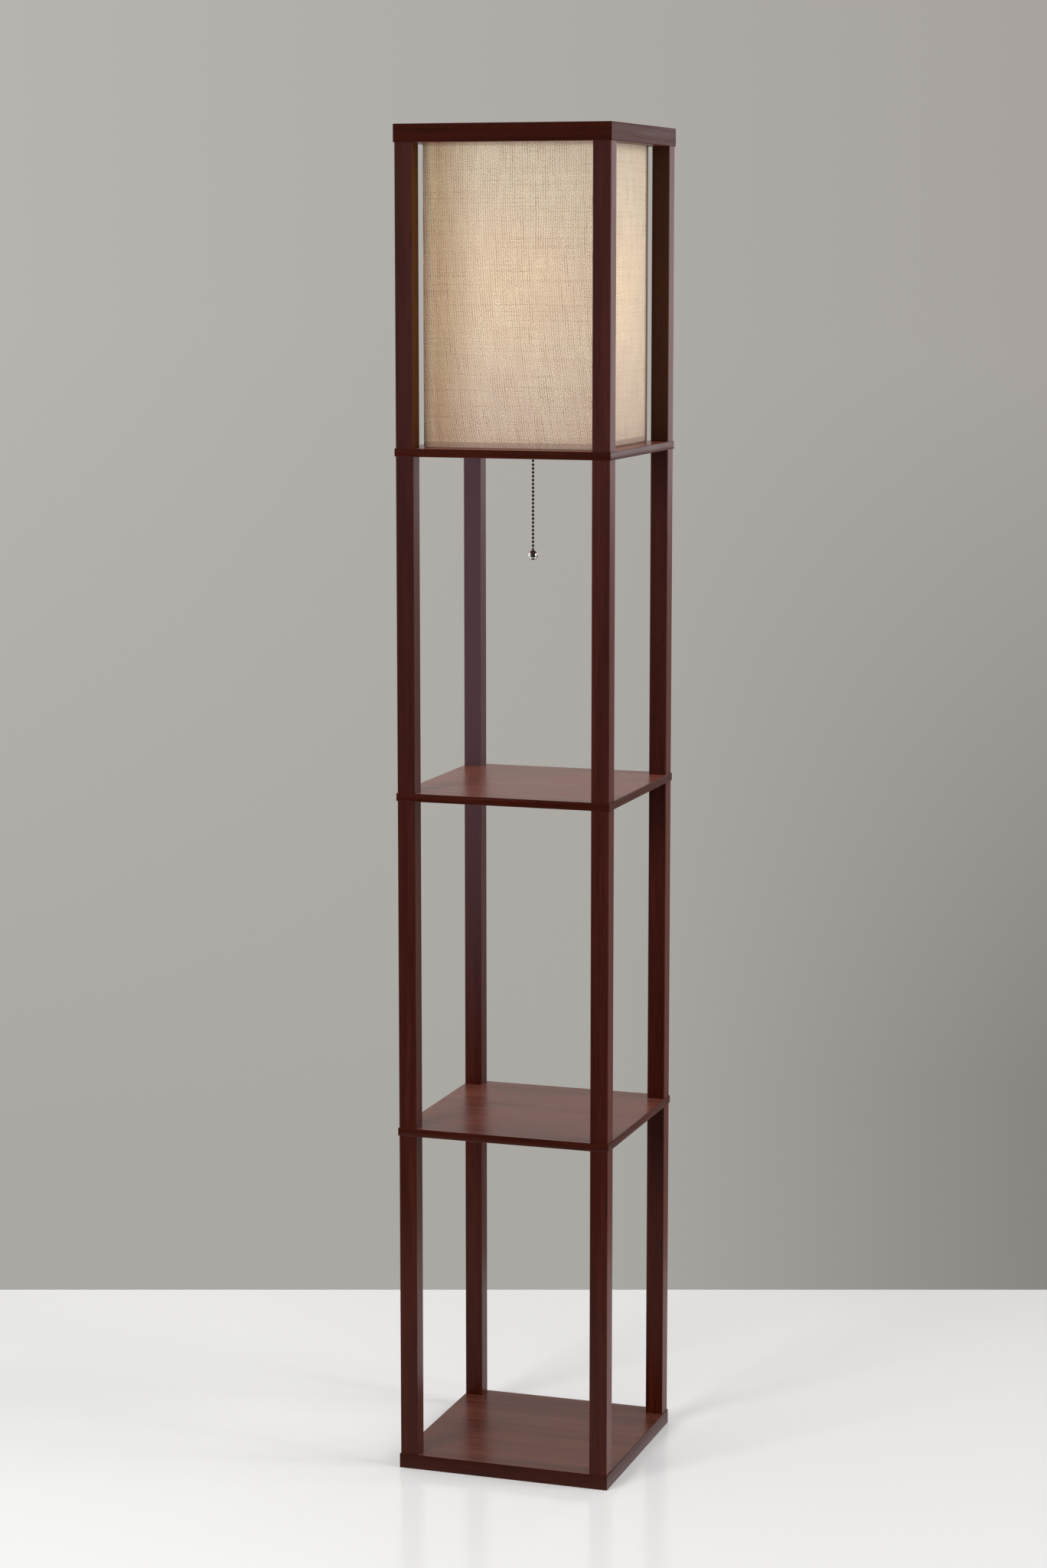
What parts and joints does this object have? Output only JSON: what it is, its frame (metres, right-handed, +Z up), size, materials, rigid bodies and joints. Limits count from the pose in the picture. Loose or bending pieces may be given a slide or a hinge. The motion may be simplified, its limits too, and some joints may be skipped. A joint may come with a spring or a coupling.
{
  "type": "shelf floor lamp",
  "caption": "Tall square shelf floor lamp: open shelves between corner posts, a square cloth shade on top and a bead pull chain with a ball.",
  "frame": {"origin": "centre of the base board underside, on the floor", "axes": "+Z up, -Y to the front, +X to the right seen from the front"},
  "size_m": [0.26, 0.26, 1.588],
  "materials": {
    "dark_wood": "satin dark reddish-brown, fine grain",
    "edging": "satin dark reddish-brown edging tape",
    "plain_wood": "bare",
    "zinc_steel": "zinc plated",
    "white_steel": "white painted wire",
    "linen": "loose oatmeal-coloured weave",
    "shade_lining": "translucent white lining sheet",
    "brass": "plain",
    "fibre_sleeve": "brown insulating fibre",
    "black_plastic": "moulded",
    "lead_insulation": "plain",
    "white_plastic": "moulded",
    "chrome": "bright",
    "bulb_cap_metal": "plain",
    "bulb_glass": "frosted white"
  },
  "bodies": {
    "stand": {"base_board": "dark_wood", "base_edging": "edging", "base_screws": "zinc_steel", "bottom_post_back_left": "dark_wood", "bottom_post_back_right": "dark_wood", "bottom_post_front_left": "dark_wood", "bottom_post_front_right": "dark_wood", "centre_contact": "brass", "cord_bushing": "black_plastic", "corner_dowels": "plain_wood", "lamp_board": "dark_wood", "lower_shelf": "dark_wood", "middle_post_back_left": "dark_wood", "middle_post_back_right": "dark_wood", "middle_post_front_left": "dark_wood", "middle_post_front_right": "dark_wood", "middle_shelf": "dark_wood", "nipple": "zinc_steel", "nipple_nuts": "zinc_steel", "nipple_washers": "zinc_steel", "post_inserts": "zinc_steel", "return_spring": "zinc_steel", "screw_shell": "brass", "shade_post_back_left": "dark_wood", "shade_post_back_right": "dark_wood", "shade_post_front_left": "dark_wood", "shade_post_front_right": "dark_wood", "shelf_edging": "edging", "shelf_studs": "zinc_steel", "socket_body": "black_plastic", "socket_cap": "brass", "socket_shell": "brass", "socket_sleeve": "fibre_sleeve", "switch_contacts": "brass", "switch_cover": "black_plastic", "switch_housing": "black_plastic", "switch_leads": "lead_insulation", "switch_nut": "chrome", "switch_stem": "chrome", "terminal_screws": "zinc_steel", "top_rail_back": "dark_wood", "top_rail_front": "dark_wood", "top_rail_left": "dark_wood", "top_rail_right": "dark_wood", "upper_post_back_left": "dark_wood", "upper_post_back_right": "dark_wood", "upper_post_front_left": "dark_wood", "upper_post_front_right": "dark_wood"},
    "plunger": {"switch_plunger": "white_plastic", "chain_in_switch": "chrome"},
    "rotor": {"switch_rotor": "white_plastic"},
    "free_bead": {"chain_free_bead": "chrome"},
    "chain": {"pull_chain": "chrome", "pull_ball": "chrome"},
    "bulb": {"bulb_glass": "bulb_glass", "bulb_cap": "bulb_cap_metal"},
    "shade": {"shade_fabric": "linen", "shade_panels": "shade_lining", "shade_rings": "white_steel"}
  },
  "joints": [
    {"name": "chain_pull", "type": "slide", "parent": "stand", "child": "plunger", "axis": [0, 0, -1], "range_m": [0, 0.008], "stiffness_N_per_m": 800, "springref_m": -0.003, "deforming": ["return_spring"]},
    {"name": "ratchet_turn", "type": "hinge", "parent": "stand", "child": "rotor", "pos_m": [0.005, -0.02988, 1.2392], "axis": [0, 0, 1], "range_deg": [0, 90.5]},
    {"name": "chain_swing_sideways", "type": "hinge", "parent": "plunger", "child": "free_bead", "pos_m": [0.005, -0.02988, 1.2032], "axis": [0, 1, 0], "range_deg": [-50, 50]},
    {"name": "chain_swing_forward", "type": "hinge", "parent": "free_bead", "child": "chain", "pos_m": [0.005, -0.02988, 1.2032], "axis": [1, 0, 0], "range_deg": [-50, 50]},
    {"name": "bulb_lift", "type": "slide", "parent": "stand", "child": "bulb", "axis": [0, 0, 1], "range_m": [0, 0.34]},
    {"name": "shade_lift", "type": "slide", "parent": "stand", "child": "shade", "axis": [0, 0, 1], "range_m": [0, 0.372]}
  ],
  "couplings": [
    {"joint": "ratchet_turn", "follows": "chain_pull", "rad_per_m": 196.35}
  ]
}
